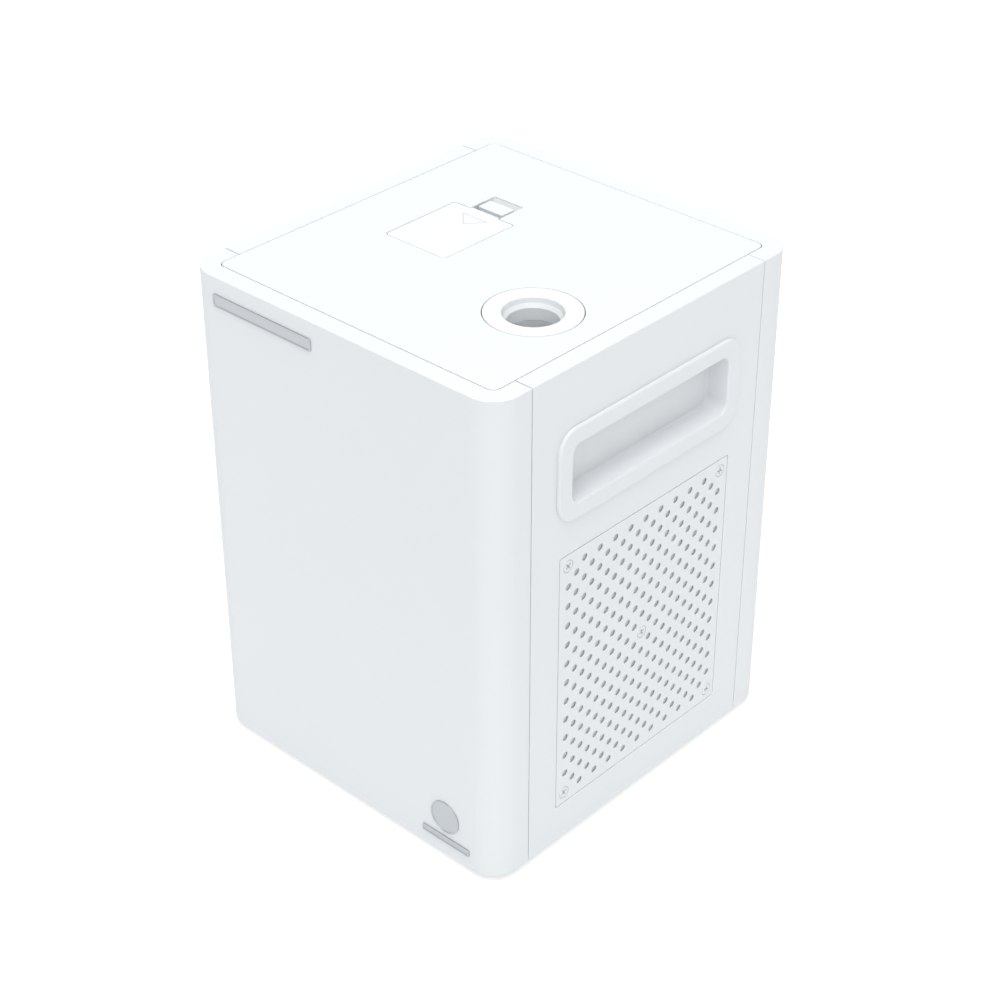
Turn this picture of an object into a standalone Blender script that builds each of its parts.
"""Small cold-spark fountain for a stage.

A painted housing stands on four feet. Under the top plate a hopper holds metal granules, a feed
screw carries them to a heated chamber, and a blower lifts them through the round spark outlet.
+X is the right side, -Y the front, +Z up. The origin is under the housing's centre, on the floor.
Run it with: blender --background --python part.py
"""
import math

import bmesh
import bpy
from mathutils import Matrix, Vector

MM = 0.001

# Housing
BODY_W = 192 * MM             # across the front
BODY_D = 205 * MM             # front face to rear face
BODY_H = 260 * MM             # without the feet
FOOT_H = 3 * MM
FOOT_R = 8 * MM
FOOT_INSET = 20 * MM          # foot centre from the housing's faces
CORNER_R = 14 * MM            # vertical corners
WALL = 1.6 * MM
SEAM_INSET = 23 * MM          # front and rear covers wrap this far round the sides
RIM_W = 9.75 * MM             # rim round the top plate
RIM_R = 4.6 * MM
TOUCH = 0.3 * MM              # gap between pieces that rest on each other
LINE = 0.45 * MM              # gap that shows as a line round an inset piece

# Top plate
PLATE_T = 2 * MM
FLANGE_T = 1.9 * MM           # flange under the rim
FLANGE_W = 4 * MM
RIB_W = 6 * MM                # thick border of the plate

# Spark outlet
NOZZLE_X = 50.9 * MM
NOZZLE_Y = -29.2 * MM
RING_R = 22.65 * MM
RING_T = 2.4 * MM
MOUTH_R = 14.2 * MM
BORE_R = 12 * MM
MOUTH_DEPTH = 3.2 * MM        # straight part of the mouth
LEDGE_DEPTH = 4.6 * MM        # where the sloping ledge reaches the bore
SKIRT_R = 17 * MM
SKIRT_L = 19 * MM
TUBE_R = 12.2 * MM
TUBE_T = 1.3 * MM
TUBE_SEAT = 8 * MM            # length of tube inside the skirt
CHAMBER_R = 13 * MM
AIR_HOLE_R = 7 * MM
COIL_R = 16.6 * MM
COIL_WIRE_R = 1.5 * MM
COIL_PITCH = 4.4 * MM
COIL_TURNS = 4

# Hopper lid and its latch
LID_X = -32.75 * MM
LID_Y = 4.9 * MM
LID_W = 38.1 * MM
LID_L = 47 * MM
LID_T = 2 * MM
LID_EDGE_T = 0.6 * MM         # thin front edge that swings clear of the plate
LID_FRONT_R = 2 * MM
LID_REAR_R = 1 * MM
TAB_L = 0.85 * MM
RECESS_W = 18.6 * MM
RECESS_L = 16.5 * MM
WELL_WALL = 2 * MM
WELL_DEPTH = 9 * MM
SCOOP_L = 3.8 * MM
SCOOP_DEPTH = 3.1 * MM
SCOOP_T = 1.3 * MM
LATCH_W = 15.5 * MM
LATCH_L = 8.1 * MM
LATCH_BACK = 1 * MM           # latch to scoop
TONGUE_W = 10 * MM
TONGUE_T = 1.8 * MM
TONGUE_L = 20 * MM
NOSE_L = 0.7 * MM
GUIDE_WALL = 1.6 * MM
ARROW_W = 17.3 * MM
ARROW_L = 9.3 * MM
ARROW_INSET = 5.8 * MM
ARROW_DEPTH = 0.3 * MM

# Lid hinge: a swan neck that dips round the plate's edge
PIVOT_FORWARD = 6 * MM        # pivot to the edge of the plate
BARREL_R = 1.9 * MM
PIN_R = 0.8 * MM
PIN_PLAY = 0.25 * MM
NECK_R = 7.8 * MM             # inside of the neck
NECK_T = 2 * MM
NECK_W = 4 * MM
NECK_SPREAD = 12 * MM         # each neck from the lid's middle
LUG_SPREAD = 18 * MM
LUG_W = 3 * MM

# Hopper and feed screw
HOPPER_SIDE = 21 * MM         # hopper's half width inside
HOPPER_FRONT = 7 * MM         # hopper inside, past the pivot
HOPPER_NECK = 19 * MM         # straight part below the top
HOPPER_WALL = 1.5 * MM
THROAT = 6.3 * MM             # half width of the outlet
THROAT_Y = 0.0
THROAT_L = 4.6 * MM
FEED_TUBE_R = 9 * MM
FEED_BORE_R = 7 * MM
FEED_INLET_R = 5.6 * MM
SCREW_R = 6.6 * MM
SCREW_SHAFT_R = 2.5 * MM
SCREW_PITCH = 11 * MM
SCREW_BLADE_T = 1.4 * MM
END_WALL = 14 * MM            # feed tube's end, from the throat
COUPLING_R = 4.5 * MM
COUPLING_L = 7.5 * MM
MOTOR_SHAFT_R = 1.3 * MM
GEARBOX_R = 12.5 * MM
GEARBOX_L = 9.5 * MM
MOTOR_R = 11.5 * MM
MOTOR_L = 21 * MM

# Side panels: handle and grille
SIDE_MARGIN = 16 * MM         # seam to the handle's bezel
HANDLE_DROP = 53.9 * MM       # top of the housing to the handle's middle
BEZEL_H = 47.5 * MM
BEZEL_R = 11.5 * MM
BEZEL_T = 1.6 * MM
BEZEL_ROUND = 0.9 * MM
BEZEL_RIM = 9 * MM            # bezel's width round the pocket
POCKET_H = 30 * MM
POCKET_R = 5 * MM
POCKET_DEPTH = 10 * MM
POCKET_WALL = 2 * MM
GRILLE_MARGIN = 19.4 * MM     # seam to the grille
GRILLE_GAP = 18.45 * MM       # bezel to the grille
GRILLE_LIFT = 20.8 * MM       # bottom of the housing to the grille
GRILLE_T = 1.5 * MM
GRILLE_R = 0.9 * MM
COLUMNS = 10                  # staggered holes on each side of the middle of a grille
ROWS = 12
HOLE_R = 1.75 * MM
HOLE_EDGE_Y = 6.1 * MM        # middle of the last column to the grille's edge
HOLE_EDGE_Z = 6.75 * MM       # middle of the last row to the grille's edge
HOLE_TWIST = 13               # degrees from hole to hole, so their corners don't line up
SCREW_INSET = 5.5 * MM
LEDGE_W = 5 * MM
LEDGE_T = 1.6 * MM
LEDGE_INNER = 3.2 * MM
LEDGE_PAD = 9.4 * MM
BAR_H = 4.8 * MM
HEAD_R = 3 * MM
HEAD_T = 1.7 * MM
SHANK_R = 1.45 * MM
SHANK_L = 6 * MM

# Fan, blower and chassis
FAN_SIZE = 80 * MM
FAN_T = 20 * MM
FAN_RIM = 2.5 * MM
FAN_CLEAR = 1 * MM            # round the fan where the chassis passes it
FAN_HUB_R = 15 * MM
FAN_HUB_T = 13 * MM
FAN_BLADES = 7
FAN_PITCH = 38                # degrees
SHELF_CLEAR = 3 * MM
SHEET_T = 2 * MM
CHASSIS_FRONT = 36.5 * MM     # front face to the chassis
CHASSIS_REAR = 58.5 * MM
CHASSIS_FOOT = 12 * MM
FEED_LIFT = 36 * MM           # shelf to the feed screw's axis
BLOWER_W = 34 * MM
BLOWER_WALL = 1.8 * MM
SCROLL_START = 30 * MM
SCROLL_END = 43 * MM
OUTLET_W = 28 * MM
OUTLET_H = 45 * MM
INLET_R = 20 * MM
IMPELLER_R = 26 * MM
IMPELLER_W = 24 * MM
IMPELLER_HUB_R = 7 * MM
IMPELLER_BLADES = 12
SUPPLY_W = 130 * MM
SUPPLY_T = 28 * MM
SUPPLY_H = 86 * MM
BOARD_W = 130 * MM
BOARD_H = 90 * MM
BOARD_T = 1.6 * MM

# Rear controls
PANEL_W = 150 * MM
PANEL_H = 150 * MM
PANEL_R = 4 * MM
PANEL_DROP = 25 * MM          # top of the housing to the panel
PANEL_T = 2.4 * MM
PANEL_SINK = 1.2 * MM
DISPLAY_W = 60 * MM
DISPLAY_H = 24 * MM
BUTTON_R = 4.5 * MM
BUTTON_PITCH = 20 * MM
BUTTON_SLOT = 0.35 * MM
SOCKET_R = 11.5 * MM
SOCKET_BORE_R = 8.5 * MM
SOCKET_DEPTH = 14 * MM
SOCKET_L = 23 * MM
SOCKET_X = 30 * MM
POWER_X = 48 * MM
INLET_W = 27 * MM
INLET_H = 20 * MM
SWITCH_X = 14 * MM
SWITCH_TILT = 8               # degrees either way from the middle
FUSE_X = -14 * MM

# Badges
BADGE_PROUD = 0.7 * MM
BADGE_T = 1 * MM

# Places worked out from the sizes above
BOTTOM = FOOT_H
TOP = FOOT_H + BODY_H
RIGHT = BODY_W / 2
REAR = BODY_D / 2
SPAN = BODY_D - 2 * SEAM_INSET
REAR_PROUD = REAR + BADGE_PROUD
HANDLE_Z = TOP - HANDLE_DROP
BEZEL_W = SPAN - 2 * SIDE_MARGIN
POCKET_W = BEZEL_W - 2 * BEZEL_RIM
GRILLE_W = SPAN - 2 * GRILLE_MARGIN
GRILLE_TOP = HANDLE_Z - BEZEL_H / 2 - GRILLE_GAP
GRILLE_H = GRILLE_TOP - BOTTOM - GRILLE_LIFT
GRILLE_Z = GRILLE_TOP - GRILLE_H / 2
COLUMN_STEP = (GRILLE_W / 2 - HOLE_EDGE_Y) / COLUMNS
ROW_STEP = (GRILLE_H / 2 - HOLE_EDGE_Z) / ROWS
FAN_BORE_R = FAN_SIZE / 2 - FAN_RIM
LEDGE_FACE = RIGHT - GRILLE_T - TOUCH
LEDGE_BACK = LEDGE_FACE - LEDGE_T
LID_FRONT = LID_Y - LID_L / 2
LID_REAR = LID_Y + LID_L / 2
TAB_END = LID_REAR + LINE + TAB_L
RECESS_END = TAB_END + RECESS_L
SCOOP_START = RECESS_END - SCOOP_L
LATCH_END = SCOOP_START - LATCH_BACK
LATCH_START = LATCH_END - LATCH_L
TONGUE_TOP = TOP - SCOOP_DEPTH - SCOOP_T - 2 * TOUCH + 0.2 * MM
PIVOT_Y = LID_FRONT - LINE - PIVOT_FORWARD
PIVOT_Z = TOP - PLATE_T - TOUCH + 0.1 * MM - BARREL_R
PIVOT = (LID_X, PIVOT_Y, PIVOT_Z)
SHELF_TOP = GRILLE_Z + FAN_SIZE / 2 + SHELF_CLEAR + SHEET_T
FEED_Z = SHELF_TOP + FEED_LIFT
FEED_RUN = math.hypot(NOZZLE_X - LID_X, NOZZLE_Y - THROAT_Y)
FEED_TURN = math.atan2(NOZZLE_Y - THROAT_Y, NOZZLE_X - LID_X)
FEED_END = FEED_RUN - CHAMBER_R - TOUCH
CHAMBER_TOP = FEED_Z + FEED_TUBE_R + 11 * MM
TUBE_TOP = TOP - SKIRT_L + TUBE_SEAT
BLOWER_Y = NOZZLE_Y + SCROLL_END - OUTLET_W / 2
BLOWER_Z = SHELF_TOP - SHEET_T - TOUCH - OUTLET_H
PANEL_FACE = REAR - PANEL_SINK
PANEL_Z = TOP - PANEL_DROP - PANEL_H / 2
DISPLAY_Z = PANEL_Z + 50 * MM
BUTTON_Z = PANEL_Z + 25 * MM
SOCKET_Z = PANEL_Z - 13 * MM
POWER_Z = PANEL_Z - 53 * MM
SWITCH_PIVOT = (SWITCH_X, PANEL_FACE - 2.8 * MM, POWER_Z)

FINISHES = {                  # colour, roughness, metallic
    "white_paint": ((0.78, 0.81, 0.84), 0.42, 0.0),
    "white_plastic": ((0.80, 0.83, 0.85), 0.38, 0.0),
    "dark_plastic": ((0.03, 0.03, 0.035), 0.5, 0.0),
    "rubber": ((0.02, 0.02, 0.02), 0.8, 0.0),
    "steel": ((0.56, 0.57, 0.58), 0.35, 1.0),
    "aluminium": ((0.80, 0.81, 0.82), 0.3, 1.0),
    "copper": ((0.72, 0.35, 0.2), 0.3, 1.0),
    "board": ((0.02, 0.16, 0.07), 0.45, 0.0),
    "glass": ((0.02, 0.03, 0.05), 0.08, 0.0),
    "red_plastic": ((0.55, 0.03, 0.02), 0.3, 0.0),
    "granule_steel": ((0.45, 0.45, 0.44), 0.45, 1.0),
}

AXES = {                      # turn that carries a flat outline, or a turned piece, on to an axis
    "X": (math.pi / 2, 0, math.pi / 2),
    "Y": (math.pi / 2, 0, 0),
    "Z": (0, 0, 0),
}
TURNED_AXES = {"X": (0, math.pi / 2, 0), "Y": (-math.pi / 2, 0, 0), "Z": (0, 0, 0),
               "-X": (0, -math.pi / 2, 0)}


for old in list(bpy.data.objects):
    bpy.data.objects.remove(old, do_unlink=True)
parts = bpy.data.collections.new("cold_spark_machine")
tools = bpy.data.collections.new("cutters")
bpy.context.scene.collection.children.link(parts)
bpy.context.scene.collection.children.link(tools)


# ---------------------------------------------------------------- outlines

def arc(radius, start, end, steps, centre=(0.0, 0.0)):
    """Points on an arc between two angles in degrees, both ends included."""
    angles = [math.radians(start + (end - start) * i / steps) for i in range(steps + 1)]
    return [(centre[0] + radius * math.cos(a), centre[1] + radius * math.sin(a)) for a in angles]


def ring(radius, sides, centre=(0.0, 0.0), turn=0.0):
    """A regular polygon."""
    return arc(radius, turn, turn + 360, sides, centre)[:-1]


def rounded(width, height, radius, steps=3, centre=(0.0, 0.0)):
    """A rectangle with round corners, anticlockwise."""
    points = []
    for quarter, (u, v) in enumerate(((1, 1), (-1, 1), (-1, -1), (1, -1))):
        corner = (centre[0] + u * (width / 2 - radius), centre[1] + v * (height / 2 - radius))
        points += arc(radius, 90 * quarter, 90 * quarter + 90, steps, corner)
    return points


def rectangle(left, bottom, right, top):
    """A rectangle from its edges."""
    return [(left, bottom), (right, bottom), (right, top), (left, top)]


# ---------------------------------------------------------------- solids

def link(name, data, place=(0, 0, 0), turn=(0, 0, 0)):
    """A new object in the object's own collection."""
    item = bpy.data.objects.new(name, data)
    item.location = place
    item.rotation_euler = turn
    parts.objects.link(item)
    return item


def evaluated_mesh(item):
    """The item's mesh as its modifiers leave it, with loose curve caps welded on."""
    bpy.context.view_layer.update()
    seen = item.evaluated_get(bpy.context.evaluated_depsgraph_get())
    mesh = bpy.data.meshes.new_from_object(seen)
    work = bmesh.new()
    work.from_mesh(mesh)
    bmesh.ops.remove_doubles(work, verts=work.verts, dist=1e-6)
    work.to_mesh(mesh)
    work.free()
    return mesh


def as_mesh(item):
    """Replace a curve, or a stack of modifiers, with its plain mesh in the same place."""
    name = item.name
    mesh = evaluated_mesh(item)
    matrix = item.matrix_world.copy()
    used = [step.object for step in item.modifiers if step.type == "BOOLEAN"]
    for old in [item] + used:
        bpy.data.objects.remove(old, do_unlink=True)
    mesh.name = name
    plain = link(name, mesh)
    plain.matrix_world = matrix
    return plain


def prism(name, outlines, low, high, along="Z", origin=(0, 0, 0)):
    """A flat outline, with any holes after it, made solid from low to high along an axis.

    An outline's points are (x, y) along Z, (y, z) along X and (x, z) along Y, from the origin.
    """
    curve = bpy.data.curves.new(name, "CURVE")
    curve.dimensions = "2D"
    curve.fill_mode = "BOTH"
    curve.extrude = (high - low) / 2
    for outline in outlines:
        spline = curve.splines.new("POLY")
        spline.points.add(len(outline) - 1)
        for point, (u, v) in zip(spline.points, outline):
            point.co = (u, v, 0, 1)
        spline.use_cyclic_u = True
    axis = Vector([letter == along for letter in "XYZ"])
    item = link(name, curve, Vector(origin) + axis * (low + high) / 2, AXES[along])
    return as_mesh(item)


def box(name, low, high, origin=None):
    """A block between two corners, with its own origin in its middle or at a given point."""
    low, high = Vector(low), Vector(high)
    middle = (low + high) / 2
    place = middle if origin is None else Vector(origin)
    mesh = bpy.data.meshes.new(name)
    work = bmesh.new()
    bmesh.ops.create_cube(work, size=1)
    bmesh.ops.scale(work, vec=high - low, verts=work.verts)
    bmesh.ops.translate(work, vec=middle - place, verts=work.verts)
    work.to_mesh(mesh)
    work.free()
    return link(name, mesh, place)


def turned(name, profile, place=(0, 0, 0), along="Z", steps=24, closed=False):
    """A round piece. Its profile, (radius, height), runs down the outer side."""
    mesh = bpy.data.meshes.new(name)
    count = len(profile)
    edges = [(i, i + 1) for i in range(count - 1)] + ([(count - 1, 0)] if closed else [])
    mesh.from_pydata([(radius, 0, height) for radius, height in profile], edges, [])
    item = link(name, mesh, place, TURNED_AXES[along])
    screw = item.modifiers.new("turn", "SCREW")
    screw.steps = screw.render_steps = steps
    screw.use_merge_vertices = True
    screw.merge_threshold = 1e-6
    screw.use_smooth_shade = False
    return as_mesh(item)


def rod(name, radius, low, high, place=(0, 0, 0), along="Z", steps=24):
    """A plain cylinder from low to high along an axis."""
    return turned(name, [(0, high), (radius, high), (radius, low), (0, low)], place, along, steps)


def tube(name, outer, inner, low, high, place=(0, 0, 0), along="Z", steps=24):
    """A plain tube from low to high along an axis."""
    profile = [(inner, high), (outer, high), (outer, low), (inner, low)]
    return turned(name, profile, place, along, steps, closed=True)


def stack(name, sections):
    """A loft through level rectangles, each (z, left, front, right, rear), from the top down."""
    work = bmesh.new()
    levels = []
    for z, left, front, right, rear in sections:
        corners = [(left, front), (right, front), (right, rear), (left, rear)]
        levels.append([work.verts.new((x, y, z)) for x, y in corners])
    for upper, lower in zip(levels, levels[1:]):
        for i in range(4):
            work.faces.new((lower[i], lower[i - 3], upper[i - 3], upper[i]))
    work.faces.new(levels[0])
    work.faces.new(levels[-1][::-1])
    bmesh.ops.recalc_face_normals(work, faces=work.faces)
    mesh = bpy.data.meshes.new(name)
    work.to_mesh(mesh)
    work.free()
    return link(name, mesh)


def combine(item, tool, operation):
    """Boolean with a tool, which stays as a hidden wire guide."""
    step = item.modifiers.new(tool.name, "BOOLEAN")
    step.solver = "EXACT"
    step.operation = operation
    step.object = tool
    tool.hide_render = True
    tool.display_type = "WIRE"
    if tool.name in parts.objects:
        parts.objects.unlink(tool)
        tools.objects.link(tool)
    return item


def cut(item, *cutters):
    """Take each cutter away."""
    for tool in cutters:
        combine(item, tool, "DIFFERENCE")
    return item


def join(item, *additions):
    """Make each addition one body with the item."""
    for tool in additions:
        combine(item, tool, "UNION")
    return item


def keep(item, zone):
    """Keep only what is inside the zone."""
    return combine(item, zone, "INTERSECT")


def finish(item, kind):
    """Give the piece a material of its own and shade its round faces smooth."""
    colour, roughness, metallic = FINISHES[kind]
    material = bpy.data.materials.new(item.name)
    material.use_nodes = True
    shader = material.node_tree.nodes["Principled BSDF"]
    shader.inputs["Base Color"].default_value = (*colour, 1)
    shader.inputs["Roughness"].default_value = roughness
    shader.inputs["Metallic"].default_value = metallic
    material.diffuse_color = (*colour, 1)
    item.data.materials.clear()
    item.data.materials.append(material)
    item.data.shade_smooth()
    item.data.set_sharp_from_angle(angle=math.radians(32))
    return item


# ---------------------------------------------------------------- housing

def housing_slice(shell, name, low, high):
    """The part of the housing between two corners."""
    item = link(name, shell.data.copy(), shell.location)
    return keep(item, box(name + "_zone", low, high))


def housing():
    """Covers, side panels and base: one drawn box, cut at the seams."""
    shell = prism("shell", [rounded(BODY_W, BODY_D, CORNER_R, 6)], BOTTOM, TOP)
    inner = rounded(BODY_W - 2 * WALL, BODY_D - 2 * WALL, CORNER_R - WALL, 6)
    mouth = rounded(BODY_W - 2 * RIM_W, BODY_D - 2 * RIM_W, RIM_R, 4)
    cut(shell, prism("cavity", [inner], BOTTOM - WALL, TOP - WALL),
        prism("mouth", [mouth], TOP - 2 * WALL, TOP + WALL))
    shell = as_mesh(shell)

    far, seam, half = 2 * BODY_W, REAR - SEAM_INSET, LINE / 2
    ends = {"front_cover": (-far, -seam - half), "rear_cover": (seam + half, far)}
    covers = {name: housing_slice(shell, name, (-far, low, -far), (far, high, far))
              for name, (low, high) in ends.items()}
    sides = {"left_side_panel": (-far, 0), "right_side_panel": (0, far)}
    panels = {name: housing_slice(shell, name, (low, half - seam, -far), (high, seam - half, far))
              for name, (low, high) in sides.items()}
    bpy.data.objects.remove(shell, do_unlink=True)

    window = rounded(PANEL_W, PANEL_H, PANEL_R, 3, (0, PANEL_Z))
    cut(covers["rear_cover"], prism("panel_window", [window], REAR - 3 * WALL, REAR + WALL, "Y"))
    for piece in covers.values():
        finish(piece, "white_paint")
    for side, piece in zip((-1, 1), panels.values()):
        side_panel(piece, side)
        finish(piece, "white_paint")

    floor = rounded(BODY_W - 2 * (WALL + LINE), BODY_D - 2 * (WALL + LINE), CORNER_R - WALL, 4)
    finish(prism("base_plate", [floor], BOTTOM, BOTTOM + SHEET_T), "steel")
    foot = rod("foot", FOOT_R, 0, FOOT_H - TOUCH, steps=16)
    for end, sign in (("front", -1), ("rear", 1)):
        for flank, across in (("left", -1), ("right", 1)):
            place = (across * (RIGHT - FOOT_INSET), sign * (REAR - FOOT_INSET), 0)
            finish(link(f"foot_{end}_{flank}", foot.data.copy(), place), "rubber")
    bpy.data.objects.remove(foot, do_unlink=True)
    return covers["front_cover"]


def beside(side, low, high):
    """A span measured from the middle plane outwards, put on one side: -1 left, 1 right."""
    return tuple(sorted((side * low, side * high)))


def screw_places():
    """Where the grille's five screws go, as (y, z)."""
    across, up = GRILLE_W / 2 - SCREW_INSET, GRILLE_H / 2 - SCREW_INSET - 0.5 * MM
    corners = [(u * across, GRILLE_Z + v * up) for v in (1, -1) for u in (-1, 1)]
    return corners + [(0.0, GRILLE_Z)]


def side_panel(panel, side):
    """Seat for the grille and hole for the handle in a side panel."""
    tag = "left" if side < 0 else "right"
    wide, tall = GRILLE_W / 2, GRILLE_H / 2
    backing = rectangle(-wide - LEDGE_W, GRILLE_Z - tall - LEDGE_W,
                        wide + LEDGE_W, GRILLE_Z + tall + LEDGE_W)
    seat = rounded(GRILLE_W + 2 * LINE, GRILLE_H + 2 * LINE, GRILLE_R + LINE, 2, (0, GRILLE_Z))
    inner, outer = wide - LEDGE_INNER, tall - LEDGE_INNER
    step_in, step_up = wide - LEDGE_PAD, tall - LEDGE_PAD
    openings = []
    for v in (1, -1):
        half = [(-inner, BAR_H / 2), (inner, BAR_H / 2), (inner, step_up), (step_in, step_up),
                (step_in, outer), (-step_in, outer), (-step_in, step_up), (-inner, step_up)]
        openings.append([(u, GRILLE_Z + v * w) for u, w in half])
    holes = [ring(SHANK_R + TOUCH, 6, place) for place in screw_places()]
    hole = rounded(POCKET_W + 2 * (POCKET_WALL + LINE), POCKET_H + 2 * (POCKET_WALL + LINE),
                   POCKET_R + POCKET_WALL + LINE, 3, (0, HANDLE_Z))
    through = beside(side, LEDGE_BACK - WALL, RIGHT + WALL)
    join(panel, prism(tag + "_backing", [backing],
                      *beside(side, LEDGE_BACK, RIGHT - WALL + 0.1 * MM), "X"))
    cut(panel, prism(tag + "_seat", [seat], *beside(side, LEDGE_FACE, RIGHT + WALL), "X"),
        prism(tag + "_openings", openings, *through, "X"),
        prism(tag + "_screw_holes", holes, *through, "X"),
        prism(tag + "_handle_hole", [hole], *beside(side, RIGHT - 4 * WALL, RIGHT + WALL), "X"))


def handle(side):
    """Recessed pull: a proud bezel round a pocket."""
    tag = "left" if side < 0 else "right"
    edge = rounded(BEZEL_W, BEZEL_H, BEZEL_R, 5, (0, HANDLE_Z))
    wall = rounded(POCKET_W + 2 * POCKET_WALL, POCKET_H + 2 * POCKET_WALL,
                   POCKET_R + POCKET_WALL, 4, (0, HANDLE_Z))
    pocket = rounded(POCKET_W, POCKET_H, POCKET_R, 4, (0, HANDLE_Z))
    face = RIGHT + TOUCH + BEZEL_T
    cup = prism(tag + "_handle_cup", [edge], *beside(side, RIGHT + TOUCH, face), "X")
    soften = cup.modifiers.new("soften", "BEVEL")
    soften.width = BEZEL_ROUND
    soften.segments = 2
    soften.limit_method = "ANGLE"
    soften.angle_limit = math.radians(60)
    back = RIGHT - POCKET_DEPTH
    join(cup, prism(tag + "_pocket_wall", [wall],
                    *beside(side, back - POCKET_WALL, face - BEZEL_T / 2), "X"))
    cut(cup, prism(tag + "_pocket", [pocket], *beside(side, back, face + BEZEL_T), "X"))
    finish(cup, "white_plastic")


def head_profile(extra=0.0):
    """Countersunk screw from its flush head down, grown by extra for its hole."""
    return [(0, extra), (HEAD_R + extra, extra), (HEAD_R + extra, -0.2 * MM),
            (SHANK_R + extra, -HEAD_T), (SHANK_R + extra, -SHANK_L), (0, -SHANK_L)]


def grilles():
    """Perforated plates in both sides, each held by five countersunk screws."""
    holes = []
    for row in range(-ROWS, ROWS + 1):
        for column in range(-COLUMNS, COLUMNS + 1):
            corner = abs(row) == ROWS and abs(column) == COLUMNS
            if (row + column) % 2 or corner or row == column == 0:
                continue
            place = (column * COLUMN_STEP, GRILLE_Z + row * ROW_STEP)
            holes.append(ring(1.2 * HOLE_R, 4, place, HOLE_TWIST * len(holes)))
    edge = rounded(GRILLE_W, GRILLE_H, GRILLE_R, 3, (0, GRILLE_Z))

    screw = turned("screw", head_profile(), steps=10)
    for side, tag in ((-1, "left"), (1, "right")):
        plate = prism(tag + "_grille", [edge] + holes, *beside(side, RIGHT - GRILLE_T, RIGHT), "X")
        along = "X" if side > 0 else "-X"
        for number, (y, z) in enumerate(screw_places(), 1):
            place = (side * RIGHT, y, z)
            cut(plate, turned(f"{tag}_countersink_{number}", head_profile(TOUCH), place, along, 10))
            copy = link(f"{tag}_grille_screw_{number}", screw.data.copy(), place, TURNED_AXES[along])
            finish(copy, "steel")
        finish(plate, "white_paint")
    bpy.data.objects.remove(screw, do_unlink=True)


# ---------------------------------------------------------------- top

def top_plate():
    """Inset plate with the lid's opening, the latch well, the hinge lugs and the outlet's seat."""
    wide, deep = BODY_W - 2 * RIM_W, BODY_D - 2 * RIM_W
    under = TOP - WALL - TOUCH
    plate = prism("top_plate", [rounded(wide - 2 * LINE, deep - 2 * LINE, RIM_R - LINE, 4)],
                  under - FLANGE_T, TOP)
    flange = rounded(wide + 2 * FLANGE_W, deep + 2 * FLANGE_W, RIM_R + FLANGE_W, 3)
    middle = rounded(wide - 2 * RIB_W, deep - 2 * RIB_W, 3 * MM, 2)
    join(plate, prism("plate_flange", [flange], under - FLANGE_T, under))
    cut(plate, prism("plate_underside", [middle], under - 2 * FLANGE_T, TOP - PLATE_T))

    place = (NOZZLE_X, NOZZLE_Y, TOP)
    seat = -RING_T - TOUCH
    join(plate, rod("ring_seat", RING_R + 3.4 * MM, seat - 2 * MM, 0.2 * MM - PLATE_T, place,
                    steps=30))
    cut(plate, turned("ring_hole", [(0, WALL), (RING_R + LINE, WALL), (RING_R + LINE, seat),
                                    (SKIRT_R + LINE, seat), (SKIRT_R + LINE, seat - 4 * MM),
                                    (0, seat - 4 * MM)], place))

    side = RECESS_W / 2
    join(plate, box("well", (LID_X - side - WELL_WALL, TAB_END + TOUCH, TOP - WELL_DEPTH),
                    (LID_X + side + WELL_WALL, RECESS_END + WELL_WALL, TOP - PLATE_T + 0.2 * MM)))
    left, right = LID_X - LID_W / 2 - LINE, LID_X + LID_W / 2 + LINE
    front, rear = LID_FRONT - LINE, LID_REAR + LINE
    opening = [(left, front), (right, front), (right, rear), (LID_X + side, rear),
               (LID_X + side, RECESS_END), (LID_X - side, RECESS_END), (LID_X - side, rear),
               (left, rear)]
    cut(plate, prism("lid_opening", [opening], TOP - 2 * WELL_DEPTH, TOP + WALL))
    floor = TOP - SCOOP_DEPTH - SCOOP_T
    scoop = [(SCOOP_START, TOP - SCOOP_DEPTH), (SCOOP_START, floor), (RECESS_END + 1 * MM, floor),
             (RECESS_END + 1 * MM, TOP - 0.8 * MM), (RECESS_END, TOP - 0.8 * MM)]
    join(plate, prism("scoop", [scoop], LID_X - side - 1 * MM, LID_X + side + 1 * MM, "X"))

    for sign in (-1, 1):
        x = LID_X + sign * LUG_SPREAD
        join(plate, box(f"lug_{sign}", (x - LUG_W / 2, PIVOT_Y - BARREL_R, PIVOT_Z - BARREL_R),
                        (x + LUG_W / 2, PIVOT_Y + BARREL_R, TOP - PLATE_T + 0.2 * MM)))
    reach = LUG_SPREAD + LUG_W
    cut(plate, rod("pin_hole", PIN_R + PIN_PLAY, -reach, reach, PIVOT, "X", 12))
    finish(plate, "white_paint")

    length = LUG_SPREAD + LUG_W / 2
    finish(rod("lid_hinge_pin", PIN_R, -length, length, PIVOT, "X", 12), "steel")


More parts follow.
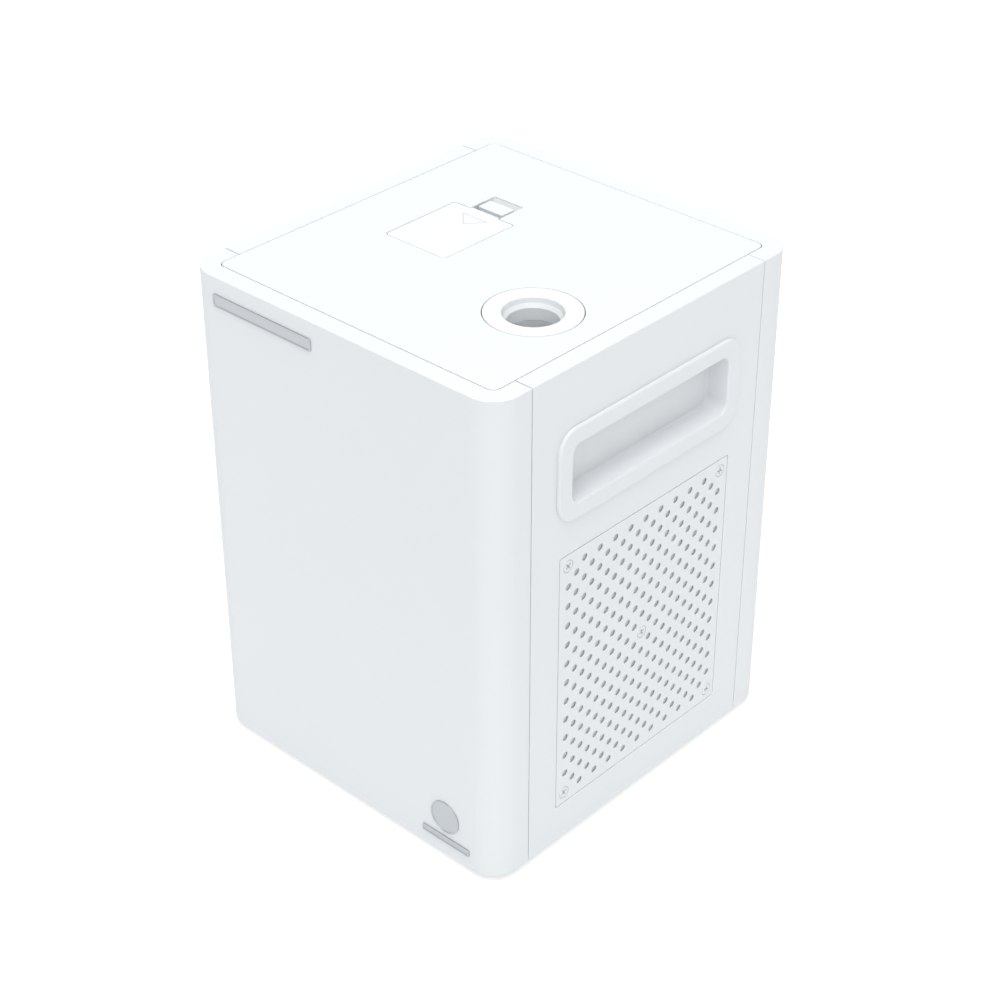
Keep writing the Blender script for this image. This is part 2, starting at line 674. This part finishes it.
def hopper_lid():
    """Flush lid, its swan necks and the guide for its latch; its origin is on the hinge."""
    def near(y, z):
        return (y - PIVOT_Y, z - PIVOT_Z)

    half, tab = LID_W / 2, RECESS_W / 2 - LINE
    front, rear = LID_FRONT - PIVOT_Y, LID_REAR - PIVOT_Y
    tab_end = TAB_END - PIVOT_Y
    edge = arc(LID_FRONT_R, 180, 270, 3, (LID_FRONT_R - half, front + LID_FRONT_R))
    edge += arc(LID_FRONT_R, 270, 360, 3, (half - LID_FRONT_R, front + LID_FRONT_R))
    edge += arc(LID_REAR_R, 0, 90, 2, (half - LID_REAR_R, rear - LID_REAR_R))
    edge += [(tab, rear), (tab, tab_end), (-tab, tab_end), (-tab, rear)]
    edge += arc(LID_REAR_R, 90, 180, 2, (LID_REAR_R - half, rear - LID_REAR_R))
    top = TOP - PIVOT_Z
    lid = prism("hopper_lid", [edge], top - LID_T, top, origin=PIVOT)

    skin = LID_T - LID_EDGE_T
    bevel = [near(LID_FRONT - LID_T, TOP - LID_EDGE_T), near(LID_FRONT, TOP - LID_EDGE_T),
             near(LID_FRONT + 1.2 * skin, TOP - LID_EDGE_T - 1.2 * skin),
             near(LID_FRONT - LID_T, TOP - LID_EDGE_T - 1.2 * skin)]
    cut(lid, prism("lid_bevel", [bevel], -LID_W, LID_W, "X", PIVOT))

    tip = NECK_R + NECK_T
    reach = math.degrees(math.asin((top - LID_T - 0.1 * MM) / tip))
    neck = arc(tip, -120, reach, 12) + [(tip * math.cos(math.radians(reach)), top - LID_T + 0.3 * MM),
                                        (NECK_R * 0.98, top - LID_T + 0.3 * MM)]
    neck += arc(NECK_R, reach, -107, 10) + arc(BARREL_R, -86, 218, 10)
    eye = ring(PIN_R + PIN_PLAY, 12)
    for sign in (-1, 1):
        middle = sign * NECK_SPREAD
        join(lid, prism(f"neck_{sign}", [neck, eye], middle - NECK_W / 2, middle + NECK_W / 2,
                        "X", PIVOT))

    low = TONGUE_TOP - TONGUE_T
    start, end = LATCH_END - TONGUE_L - 12 * MM, LID_REAR - 0.2 * MM
    wide = TONGUE_W / 2 + TOUCH
    join(lid, box("latch_guide", (LID_X - wide - GUIDE_WALL, start - GUIDE_WALL, low - GUIDE_WALL),
                  (LID_X + wide + GUIDE_WALL, end, TOP - LID_T + 0.2 * MM)))
    cut(lid, box("latch_slot", (LID_X - wide, start, low - TOUCH),
                 (LID_X + wide, end + GUIDE_WALL, TONGUE_TOP + TOUCH)))
    point = LID_REAR - ARROW_INSET - PIVOT_Y
    arrow = [(-ARROW_W / 2, point), (0, point - ARROW_L), (ARROW_W / 2, point)]
    cut(lid, prism("arrow", [arrow], top - ARROW_DEPTH, top + WALL, origin=PIVOT))
    finish(lid, "white_plastic")


def lid_latch():
    """Sliding latch: a finger pad, a stem and a tongue in the lid's guide."""
    y0, y1, low = LATCH_END - TONGUE_L, LATCH_END - 0.1 * MM, TONGUE_TOP - TONGUE_T
    stem = LATCH_END - 4 * MM
    under = TOP - LID_T + 0.1 * MM
    side = [(y0, low), (y1 + NOSE_L, low), (y1 + NOSE_L, TONGUE_TOP - 0.4 * MM), (y1, TONGUE_TOP),
            (y1, under), (stem, under), (stem, TONGUE_TOP), (y0, TONGUE_TOP)]
    latch = prism("lid_latch", [side], LID_X - TONGUE_W / 2, LID_X + TONGUE_W / 2, "X")
    join(latch, box("latch_pad", (LID_X - LATCH_W / 2, LATCH_START, TOP - LID_T),
                    (LID_X + LATCH_W / 2, LATCH_END, TOP)))
    finish(latch, "white_plastic")


def spark_outlet():
    """Flush ring, outlet tube, heated chamber and its coil, on one upright axis."""
    place = (NOZZLE_X, NOZZLE_Y, TOP)
    profile = [(MOUTH_R, 0), (RING_R, 0), (RING_R, -RING_T), (SKIRT_R, -RING_T), (SKIRT_R, -SKIRT_L),
               (TUBE_R + TOUCH, -SKIRT_L), (TUBE_R + TOUCH, TUBE_SEAT + TOUCH - SKIRT_L),
               (BORE_R, TUBE_SEAT + TOUCH - SKIRT_L), (BORE_R, -LEDGE_DEPTH),
               (MOUTH_R - 0.3 * MM, -MOUTH_DEPTH)]
    finish(turned("nozzle_ring", profile, place, steps=28, closed=True), "white_plastic")
    bore = TUBE_R - TUBE_T
    base = (NOZZLE_X, NOZZLE_Y, 0)
    finish(tube("spark_tube", TUBE_R, bore, CHAMBER_TOP + TOUCH, TUBE_TOP, base), "steel")

    low = SHELF_TOP + TOUCH
    wall = [(bore, CHAMBER_TOP), (CHAMBER_R, CHAMBER_TOP), (CHAMBER_R, low),
            (AIR_HOLE_R - 1 * MM, low), (AIR_HOLE_R - 1 * MM, low + 3 * MM), (bore, low + 3 * MM)]
    chamber = turned("heating_chamber", wall, base, closed=True)
    port = rod("feed_port", FEED_BORE_R, FEED_RUN - 2 * CHAMBER_R, FEED_RUN, along="X", steps=16)
    port.parent = feed_line
    finish(cut(chamber, port), "granule_steel")

    curve = bpy.data.curves.new("heater_coil", "CURVE")
    curve.dimensions = "3D"
    curve.bevel_depth = COIL_WIRE_R
    curve.bevel_resolution = 1
    curve.use_fill_caps = True
    steps = 10
    spline = curve.splines.new("POLY")
    spline.points.add(COIL_TURNS * steps)
    for i, point in enumerate(spline.points):
        angle = 2 * math.pi * i / steps
        height = COIL_PITCH * i / steps
        point.co = (COIL_R * math.cos(angle), COIL_R * math.sin(angle), height, 1)
    start = (NOZZLE_X, NOZZLE_Y, low + 3 * COIL_WIRE_R)
    finish(as_mesh(link("heater_coil", curve, start)), "copper")


# ---------------------------------------------------------------- feed

def hopper():
    """Funnel under the lid, from a wide collar down to the feed tube."""
    front, rear = PIVOT_Y - HOPPER_FRONT, RECESS_END + WELL_WALL + 0.8 * MM
    top, bend = TOP - PLATE_T - TOUCH, TOP - HOPPER_NECK
    foot = FEED_Z + FEED_TUBE_R + 0.4 * MM
    throat = foot + THROAT_L

    def level(z, wide, low, high, wall):
        return (z, LID_X - wide - wall, low - wall, LID_X + wide + wall, high + wall)

    outer = [level(top, HOPPER_SIDE, front, rear, HOPPER_WALL),
             level(bend, HOPPER_SIDE, front, rear, HOPPER_WALL),
             level(throat, THROAT, THROAT_Y - THROAT, THROAT_Y + THROAT, HOPPER_WALL),
             level(foot, THROAT, THROAT_Y - THROAT, THROAT_Y + THROAT, HOPPER_WALL)]
    inner = [level(top + WALL, HOPPER_SIDE, front, rear, 0), level(bend, HOPPER_SIDE, front, rear, 0),
             level(throat, THROAT, THROAT_Y - THROAT, THROAT_Y + THROAT, 0),
             level(foot - WALL, THROAT, THROAT_Y - THROAT, THROAT_Y + THROAT, 0)]
    body = stack("hopper", outer)
    lip = 5 * MM
    join(body, box("hopper_flange", (LID_X - HOPPER_SIDE - lip, front - lip, top - HOPPER_WALL),
                   (LID_X + HOPPER_SIDE + lip, rear + lip, top)))
    cut(body, stack("hopper_space", inner))
    finish(body, "aluminium")


def feed():
    """Feed tube, screw and gear motor on one line from the hopper to the chamber."""
    inside = [(FEED_BORE_R, FEED_END), (FEED_TUBE_R, FEED_END), (FEED_TUBE_R, -END_WALL),
              (SCREW_SHAFT_R + TOUCH, -END_WALL), (SCREW_SHAFT_R + TOUCH, 2 * MM - END_WALL),
              (FEED_BORE_R, 2 * MM - END_WALL)]
    pipe = turned("auger_tube", inside, along="X", closed=True)
    inlet = rod("feed_inlet", FEED_INLET_R, 0, 2 * FEED_TUBE_R, steps=16)
    pipe.parent = inlet.parent = feed_line
    finish(cut(pipe, inlet), "granule_steel")

    sleeve = -END_WALL - 1 * MM
    tail = sleeve - COUPLING_L
    tip = FEED_END - 5 * MM
    screw = turned("feed_auger", [(0, tip), (SCREW_SHAFT_R, tip), (SCREW_SHAFT_R, sleeve),
                                  (COUPLING_R, sleeve), (COUPLING_R, tail),
                                  (MOTOR_SHAFT_R + TOUCH, tail),
                                  (MOTOR_SHAFT_R + TOUCH, sleeve - 1 * MM), (0, sleeve - 1 * MM)],
                   along="X", steps=12)
    flight = helix("flight", 4 * MM - END_WALL, tip - 2 * MM)
    screw.parent = flight.parent = feed_line
    finish(join(screw, flight), "steel")

    face = tail - 0.9 * MM
    gear = face - GEARBOX_L
    body = turned("feed_motor", [(0, sleeve - 2 * MM), (MOTOR_SHAFT_R, sleeve - 2 * MM),
                                 (MOTOR_SHAFT_R, face), (GEARBOX_R, face), (GEARBOX_R, gear),
                                 (MOTOR_R, gear), (MOTOR_R, gear - MOTOR_L),
                                 (MOTOR_SHAFT_R * 3, gear - MOTOR_L),
                                 (MOTOR_SHAFT_R * 3, gear - MOTOR_L - 2 * MM),
                                 (0, gear - MOTOR_L - 2 * MM)], along="X")
    body.parent = feed_line
    finish(body, "steel")


def helix(name, low, high, steps=9):
    """Screw blade: a radial strip carried round the X axis while it moves along it."""
    work = bmesh.new()
    inner, half = SCREW_SHAFT_R * 0.6, SCREW_BLADE_T / 2
    corners = [(low, inner), (low, SCREW_R), (low + 2 * half, SCREW_R), (low + 2 * half, inner)]
    face = work.faces.new([work.verts.new((x, y, 0)) for x, y in corners])
    turns = (high - low - 2 * half) / SCREW_PITCH
    count = round(turns * steps)
    step = Vector((SCREW_PITCH / steps, 0, 0))
    bmesh.ops.spin(work, geom=[face] + list(face.edges) + list(face.verts), cent=(0, 0, 0),
                   axis=(1, 0, 0), dvec=step, angle=math.radians(360 / steps) * count, steps=count)
    bmesh.ops.recalc_face_normals(work, faces=work.faces)
    mesh = bpy.data.meshes.new(name)
    work.to_mesh(mesh)
    work.free()
    return link(name, mesh)


# ---------------------------------------------------------------- inside

def chassis():
    """Bent sheet that carries the heater, the feed, the blower and the boards."""
    front, rear, low = CHASSIS_FRONT - REAR, REAR - CHASSIS_REAR, BOTTOM + SHEET_T + TOUCH
    top, t, foot = SHELF_TOP, SHEET_T, CHASSIS_FOOT
    bend = [(front, low), (front + foot, low), (front + foot, low + t), (front + t, low + t),
            (front + t, top - t), (rear - t, top - t), (rear - t, low + t), (rear - foot, low + t),
            (rear - foot, low), (rear, low), (rear, top), (front, top)]
    reach = RIGHT - WALL - 6 * MM
    body = prism("chassis", [bend], -reach, reach, "X")
    side = FAN_SIZE / 2 + FAN_CLEAR
    cut(body, box("fan_notch", (-RIGHT, -side, GRILLE_Z - side),
                  (FAN_T + FAN_CLEAR - LEDGE_BACK, side, GRILLE_Z + side)))
    cut(body, rod("air_hole", AIR_HOLE_R, top - 2 * t, top + t, (NOZZLE_X, NOZZLE_Y, 0), steps=16))
    for name, low_s, high_s, wide in (("tube_saddle", 30 * MM, 42 * MM, 10 * MM),
                                      ("motor_saddle", -50 * MM, -38 * MM, 11 * MM)):
        saddle = box(name, (low_s, -wide, -FEED_LIFT - t / 2), (high_s, wide, -3 * MM))
        saddle.parent = feed_line
        join(body, saddle)
    for name, radius, low_s, high_s in (("tube_bed", FEED_TUBE_R, 20 * MM, 50 * MM),
                                        ("motor_bed", MOTOR_R, -54 * MM, -35 * MM)):
        bed = rod(name, radius + TOUCH, low_s, high_s, along="X")
        bed.parent = feed_line
        cut(body, bed)
    finish(body, "steel")


def scroll(grow):
    """Blower outline round its shaft, (y, z): a spiral that opens into an upright outlet."""
    points = []
    steps = 18
    for i in range(steps + 1):
        part = i / steps
        angle = math.radians(90 - 270 * part)
        radius = SCROLL_START + (SCROLL_END - SCROLL_START) * part + grow
        points.append((radius * math.cos(angle), radius * math.sin(angle)))
    height = OUTLET_H - 8 * min(grow, 0)
    left, right = -SCROLL_END - grow, OUTLET_W - SCROLL_END + grow
    return points + [(left, height), (right, height), (right, SCROLL_START * 0.93 + grow)]


def blower():
    """Blower under the chamber, which draws air through the right grille."""
    place = (NOZZLE_X, BLOWER_Y, BLOWER_Z)
    half = BLOWER_W / 2
    casing = prism("blower_housing", [scroll(0)], -half, half, "X", place)
    cut(casing, prism("blower_space", [scroll(-BLOWER_WALL)], BLOWER_WALL - half, 2 * half, "X",
                      place),
        rod("blower_shaft_hole", 3 * MM, -2 * half, 0, place, "X", 12))
    finish(casing, "dark_plastic")
    lid = prism("blower_cover", [scroll(0), ring(INLET_R, 24)], half + TOUCH,
                half + TOUCH + BLOWER_WALL, "X", place)
    finish(lid, "dark_plastic")

    paddles = []
    for i in range(IMPELLER_BLADES):
        middle = math.radians(360 / IMPELLER_BLADES * i)
        for radius, side in ((IMPELLER_HUB_R, -1), (IMPELLER_R, -1), (IMPELLER_R, 1),
                             (IMPELLER_HUB_R, 1)):
            angle = middle + side * 0.8 * MM / radius
            paddles.append((radius * math.cos(angle), radius * math.sin(angle)))
    back = BLOWER_WALL + 1.5 * MM - half
    wheel = prism("blower_impeller", [paddles], back, back + IMPELLER_W, "X", place)
    join(wheel, rod("impeller_disc", IMPELLER_R + 0.4 * MM, back - 0.2 * MM, back + 1.5 * MM, place, "X"))
    cut(wheel, rod("impeller_bore", 1.8 * MM, 2 * back, back + 12 * MM, place, "X", 12))
    finish(wheel, "dark_plastic")

    face = -half - TOUCH
    motor = turned("blower_motor", [(0, back + 10 * MM), (1.5 * MM, back + 10 * MM),
                                    (1.5 * MM, face), (14 * MM, face), (14 * MM, face - 18 * MM),
                                    (0, face - 18 * MM)], place, "X", 20)
    finish(motor, "steel")


def cooling_fan():
    """Axial fan behind the left grille."""
    outside = -LEDGE_BACK + TOUCH
    place = (outside, 0, GRILLE_Z)
    corner = FAN_SIZE / 2 - 4.2 * MM
    holes = [ring(2.2 * MM, 6, (u * corner, v * corner)) for u in (-1, 1) for v in (-1, 1)]
    edge = rounded(FAN_SIZE, FAN_SIZE, 4 * MM, 2)
    frame = prism("cooling_fan_frame", [edge], 0, FAN_T, "X", place)
    cut(frame, *(prism(f"fan_hole_{i}", [hole], -FAN_T, 2 * FAN_T, "X", place)
                 for i, hole in enumerate([ring(FAN_BORE_R, 28)] + holes)))
    thin, arm = 1.7 * MM, FAN_BORE_R + 1 * MM
    join(frame, rod("fan_motor", FAN_HUB_R, FAN_T - thin, FAN_T - 0.2 * MM, place, "X"))
    for name, y, z in (("strut_y", arm, 2 * MM), ("strut_z", 2 * MM, arm)):
        low = (outside + FAN_T - thin - 0.1 * MM, -y, GRILLE_Z - z)
        join(frame, box(name, low, (outside + FAN_T - 0.3 * MM, y, GRILLE_Z + z)))
    finish(frame, "dark_plastic")

    hub = 2.5 * MM
    rotor = rod("cooling_fan_rotor", FAN_HUB_R, hub, hub + FAN_HUB_T, place, "X")
    length = FAN_BORE_R - 2 * MM - FAN_HUB_R + 3 * MM
    for i in range(FAN_BLADES):
        blade = box(f"fan_blade_{i}", (-0.8 * MM, -length / 2, -8 * MM),
                    (0.8 * MM, length / 2, 8 * MM))
        blade.matrix_world = (Matrix.Translation(place)
                              @ Matrix.Rotation(math.radians(360 / FAN_BLADES * i), 4, "X")
                              @ Matrix.Translation((hub + FAN_HUB_T / 2,
                                                    FAN_HUB_R - 3 * MM + length / 2, 0))
                              @ Matrix.Rotation(math.radians(FAN_PITCH), 4, "Y"))
        join(rotor, blade)
    finish(rotor, "dark_plastic")


def electronics():
    """Power supply against the chassis' front wall and control board on its rear wall."""
    wall = CHASSIS_FRONT - REAR - TOUCH
    base = BOTTOM + 9 * MM
    supply = box("power_supply", (-SUPPLY_W / 2, wall - SUPPLY_T, base),
                 (SUPPLY_W / 2, wall, base + SUPPLY_H))
    join(supply, box("terminals", (SUPPLY_W / 2 - 1 * MM, wall - SUPPLY_T + 5 * MM, base + 8 * MM),
                     (SUPPLY_W / 2 + 11 * MM, wall - 8 * MM, base + 52 * MM)))
    finish(supply, "aluminium")

    rear = REAR - CHASSIS_REAR + TOUCH
    face = rear + 6 * MM
    low = BOTTOM + 27 * MM
    board = box("main_board", (-BOARD_W / 2, face, low), (BOARD_W / 2, face + BOARD_T, low + BOARD_H))
    for u in (-1, 1):
        for v in (5 * MM, BOARD_H - 5 * MM):
            join(board, rod(f"standoff_{u}_{v:.3f}", 2.5 * MM, rear, face + 0.5 * MM,
                            (u * (BOARD_W / 2 - 5 * MM), 0, low + v), "Y", 8))
    back = face + BOARD_T - 0.1 * MM
    for name, x, z, wide, tall, deep in (("transformer", -40, 22, 24, 20, 14),
                                         ("relay", -8, 18, 19, 15, 12),
                                         ("chip", 20, 50, 18, 18, 3),
                                         ("heat_sink", 45, 30, 12, 40, 13),
                                         ("header", -30, 75, 40, 6, 9)):
        join(board, box(name, ((x - wide / 2) * MM, back, low + (z - tall / 2) * MM),
                        ((x + wide / 2) * MM, back + deep * MM, low + (z + tall / 2) * MM)))
    finish(board, "board")


# ---------------------------------------------------------------- rear controls

def control_panel():
    """Inset panel, its display and its four buttons."""
    back = PANEL_FACE - PANEL_T
    flange = rounded(PANEL_W + 8 * MM, PANEL_H + 8 * MM, PANEL_R, 2, (0, PANEL_Z))
    front = rounded(PANEL_W - 2 * LINE, PANEL_H - 2 * LINE, PANEL_R - LINE, 3, (0, PANEL_Z))
    panel = prism("control_panel", [front], back, PANEL_FACE, "Y")
    join(panel, prism("panel_flange", [flange], back, REAR - WALL - TOUCH, "Y"))
    columns = [(i - 1.5) * BUTTON_PITCH for i in range(4)]
    holes = [rounded(DISPLAY_W, DISPLAY_H, 1.5 * MM, 2, (0, DISPLAY_Z))]
    holes += [ring(BUTTON_R + BUTTON_SLOT, 12, (x, BUTTON_Z)) for x in columns]
    holes += [ring(SOCKET_R + LINE, 16, (u * SOCKET_X, SOCKET_Z)) for u in (-1, 1)]
    holes += [rounded(INLET_W + 2 * LINE, INLET_H + 2 * LINE, 1.5 * MM, 2, (u * POWER_X, POWER_Z))
              for u in (-1, 1)]
    holes += [rectangle(SWITCH_X - 7.2 * MM, POWER_Z - 10.2 * MM,
                        SWITCH_X + 7.2 * MM, POWER_Z + 10.2 * MM),
              ring(6 * MM, 12, (FUSE_X, POWER_Z))]
    cut(panel, prism("panel_holes", holes, back - WALL, PANEL_FACE + WALL, "Y"))
    finish(panel, "dark_plastic")

    glass = box("display_window",
                (LINE - DISPLAY_W / 2, back - 1 * MM, DISPLAY_Z + LINE - DISPLAY_H / 2),
                (DISPLAY_W / 2 - LINE, PANEL_FACE - 0.2 * MM, DISPLAY_Z + DISPLAY_H / 2 - LINE))
    join(glass, box("display_module", (-DISPLAY_W / 2 - 3 * MM, back - 6.5 * MM,
                                       DISPLAY_Z - DISPLAY_H / 2 - 3 * MM),
                    (DISPLAY_W / 2 + 3 * MM, back - TOUCH, DISPLAY_Z + DISPLAY_H / 2 + 3 * MM)))
    finish(glass, "glass")

    for name, x in zip(("menu", "down", "up", "enter"), columns):
        rear = back - PANEL_FACE
        cap = [(0, 1.6 * MM), (BUTTON_R - 0.4 * MM, 1.6 * MM), (BUTTON_R, 1.2 * MM),
               (BUTTON_R, rear - TOUCH), (BUTTON_R + 1.3 * MM, rear - TOUCH),
               (BUTTON_R + 1.3 * MM, rear - 2 * MM), (0, rear - 2 * MM)]
        finish(turned(f"{name}_button", cap, (x, PANEL_FACE, BUTTON_Z), "Y", 12), "white_plastic")


def sockets():
    """Signal and mains sockets, fuse holder and rocker switch below the buttons."""
    seat = PANEL_FACE + TOUCH
    for name, x, inlet in (("signal_inlet", -SOCKET_X, True), ("signal_outlet", SOCKET_X, False)):
        plate = rounded(26 * MM, 31 * MM, 3 * MM, 3, (x, SOCKET_Z))
        body = prism(name, [plate], seat, REAR_PROUD, "Y")
        middle = (x, 0, SOCKET_Z)
        join(body, rod(name + "_barrel", SOCKET_R, seat - SOCKET_L, seat + 0.3 * MM, middle, "Y", 16))
        bottom = REAR_PROUD - SOCKET_DEPTH
        pins = ring(4.8 * MM, 3, (x, SOCKET_Z), 90)
        if inlet:
            cut(body, rod(name + "_bore", SOCKET_BORE_R, bottom, REAR_PROUD + WALL, middle, "Y", 16))
            join(body, *[rod(f"{name}_pin_{i}", 1.2 * MM, bottom - 1 * MM, REAR_PROUD - 5 * MM,
                             (u, 0, v), "Y", 8) for i, (u, v) in enumerate(pins)])
        else:
            groove = tube(name + "_groove", SOCKET_BORE_R, SOCKET_BORE_R - 1.2 * MM, bottom,
                          REAR_PROUD + WALL, middle, "Y", 16)
            cut(body, groove,
                *[rod(f"{name}_hole_{i}", 1.5 * MM, bottom, REAR_PROUD + WALL, (u, 0, v), "Y", 8)
                  for i, (u, v) in enumerate(pins)])
        finish(body, "dark_plastic")

    for name, x, inlet in (("power_inlet", -POWER_X, True), ("power_outlet", POWER_X, False)):
        plate = rounded(INLET_W + 5 * MM, INLET_H + 5 * MM, 2 * MM, 2, (x, POWER_Z))
        body = prism(name, [plate], seat, REAR_PROUD, "Y")
        case = rounded(INLET_W, INLET_H, 1.5 * MM, 2, (x, POWER_Z))
        join(body, prism(name + "_case", [case], seat - SOCKET_L, seat + 0.3 * MM, "Y"))
        half, up = INLET_W / 2 - 2 * MM, INLET_H / 2 - 2 * MM
        mouth = [(x - half, POWER_Z - up), (x + half, POWER_Z - up), (x + half, POWER_Z),
                 (x + half - 5 * MM, POWER_Z + up), (x - half + 5 * MM, POWER_Z + up),
                 (x - half, POWER_Z)]
        deep = REAR_PROUD - 16 * MM
        blades = [(x - 7 * MM, -2 * MM), (x, 2 * MM), (x + 7 * MM, -2 * MM)]
        boxes = [((u - 1 * MM, POWER_Z + v - 2 * MM), (u + 1 * MM, POWER_Z + v + 2 * MM))
                 for u, v in blades]
        if inlet:
            cut(body, prism(name + "_mouth", [mouth], deep, REAR_PROUD + WALL, "Y"))
            join(body, *[box(f"{name}_blade_{i}", (a[0], deep - 1 * MM, a[1]),
                             (b[0], REAR_PROUD - 6 * MM, b[1])) for i, (a, b) in enumerate(boxes)])
        else:
            cut(body, *[box(f"{name}_slot_{i}", (a[0], deep, a[1]), (b[0], REAR_PROUD + WALL, b[1]))
                        for i, (a, b) in enumerate(boxes)])
        finish(body, "dark_plastic")

    cap = [(0, REAR_PROUD), (7 * MM, REAR_PROUD), (7 * MM, seat), (5.5 * MM, seat),
           (5.5 * MM, seat - SOCKET_L), (0, seat - SOCKET_L)]
    fuse = turned("fuse_holder", cap, (FUSE_X, 0, POWER_Z), "Y", 12)
    finish(cut(fuse, box("fuse_slot", (FUSE_X - 5 * MM, REAR_PROUD - 0.8 * MM, POWER_Z - 0.6 * MM),
                         (FUSE_X + 5 * MM, REAR_PROUD + WALL, POWER_Z + 0.6 * MM))), "dark_plastic")
    rocker_switch(seat)


def rocker_switch(seat):
    """Mains switch: a frame and a rocker that turns on a cross axis."""
    wide, tall = 5.6 * MM, 8.7 * MM
    plate = rounded(17 * MM, 23 * MM, 1.5 * MM, 2, (SWITCH_X, POWER_Z))
    frame = prism("power_switch_frame", [plate], seat, REAR_PROUD, "Y")
    join(frame, box("switch_case",
                    (SWITCH_X - 6.8 * MM, seat - 16 * MM, POWER_Z - 9.8 * MM),
                    (SWITCH_X + 6.8 * MM, seat + 0.3 * MM, POWER_Z + 9.8 * MM)))
    cut(frame, box("switch_well", (SWITCH_X - wide, seat - 12 * MM, POWER_Z - tall),
                   (SWITCH_X + wide, REAR_PROUD + WALL, POWER_Z + tall)))
    finish(frame, "dark_plastic")
    end = tall - 0.8 * MM
    side = [(-4, -3), (-1, None), (3.6, None), (2.6, 0), (3.6, None), (-1, None), (-4, 3)]
    signs = (-1, -1, -1, 0, 1, 1, 1)
    points = [(u * MM, sign * end if v is None else v * MM) for (u, v), sign in zip(side, signs)]
    tilt = math.radians(SWITCH_TILT)
    turned_points = [(u * math.cos(tilt) - v * math.sin(tilt), u * math.sin(tilt) + v * math.cos(tilt))
                     for u, v in points]
    half = wide - LINE
    rocker = prism("power_rocker", [turned_points], -half, half, "X", SWITCH_PIVOT)
    finish(rocker, "red_plastic")


def badges(cover):
    """Plain raised badges set into shallow pockets in the front cover."""
    shapes = {
        "name_badge": lambda grow: rounded(64.7 * MM + grow, 6.4 * MM + grow, 1.2 * MM + grow / 2,
                                           2, (-46.4 * MM, TOP - 11.8 * MM)),
        "emblem_disc": lambda grow: ring(9 * MM + grow / 2, 24, (63.4 * MM, BOTTOM + 22.6 * MM)),
        "emblem_bar": lambda grow: rounded(30.6 * MM + grow, 4 * MM + grow, 0.8 * MM + grow / 2,
                                           2, (63.8 * MM, BOTTOM + 9 * MM)),
    }
    face = -REAR - BADGE_PROUD
    for name, shape in shapes.items():
        finish(prism(name, [shape(0)], face, face + BADGE_T, "Y"), "aluminium")
        pocket = prism(name + "_pocket", [shape(2 * TOUCH)], face - WALL, face + BADGE_T + TOUCH, "Y")
        cut(cover, pocket)


feed_line = bpy.data.objects.new("feed_line", None)
feed_line.location = (LID_X, THROAT_Y, FEED_Z)
feed_line.rotation_euler = (0, 0, FEED_TURN)
parts.objects.link(feed_line)

front_cover = housing()
badges(front_cover)
handle(-1)
handle(1)
grilles()
top_plate()
hopper_lid()
lid_latch()
spark_outlet()
hopper()
feed()
chassis()
blower()
cooling_fan()
electronics()
control_panel()
sockets()
